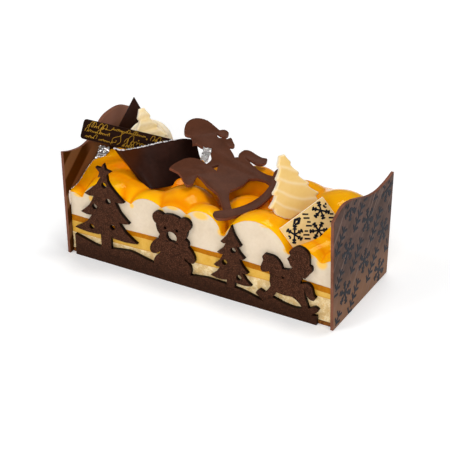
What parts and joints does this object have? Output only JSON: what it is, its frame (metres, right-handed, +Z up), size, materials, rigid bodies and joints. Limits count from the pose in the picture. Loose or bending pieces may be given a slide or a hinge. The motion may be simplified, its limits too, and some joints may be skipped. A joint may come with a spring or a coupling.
{
  "type": "yule log cake",
  "caption": "Festive log cake with a glazed, piped dome top, layered cut sides, wavy chocolate end panels, a chocolate winter frieze and moulded chocolate decorations.",
  "frame": {"origin": "middle of the bounding box on the surface the cake stands on", "axes": "+X along the log, +Y from the front with the frieze to the back, +Z up"},
  "size_m": [0.262, 0.1066, 0.1228],
  "materials": {
    "biscuit": "dark baked biscuit, matte and crumbly",
    "sponge": "pale sponge, matte and open",
    "yellow_cream": "yellow cream, satin",
    "amber_jelly": "amber fruit jelly, wet",
    "mousse": "ivory mousse, cut smooth",
    "glaze": "yellow-orange mirror glaze",
    "panel_chocolate": "milk chocolate sheet, satin outside and glossy inside",
    "frieze_chocolate": "dark chocolate, satin with a grainy face",
    "milk_chocolate": "milk chocolate, satin",
    "dark_chocolate": "dark chocolate, glossy",
    "white_chocolate": "white chocolate, satin",
    "cream_chocolate": "cream chocolate sheet, satin"
  },
  "bodies": {
    "root": {"biscuit_base": "biscuit", "sponge": "sponge", "yellow_cream": "yellow_cream", "amber_jelly": "amber_jelly", "mousse": "mousse", "glaze": "glaze", "panel_left": "panel_chocolate", "panel_right": "panel_chocolate", "frieze": "frieze_chocolate", "rocking_horse": "milk_chocolate", "printed_bar": "dark_chocolate", "curled_sheet": "dark_chocolate", "dark_shard": "dark_chocolate", "white_fir_left": "white_chocolate", "white_fir_right": "white_chocolate", "white_bauble": "white_chocolate", "cream_square": "cream_chocolate"}
  },
  "joints": []
}
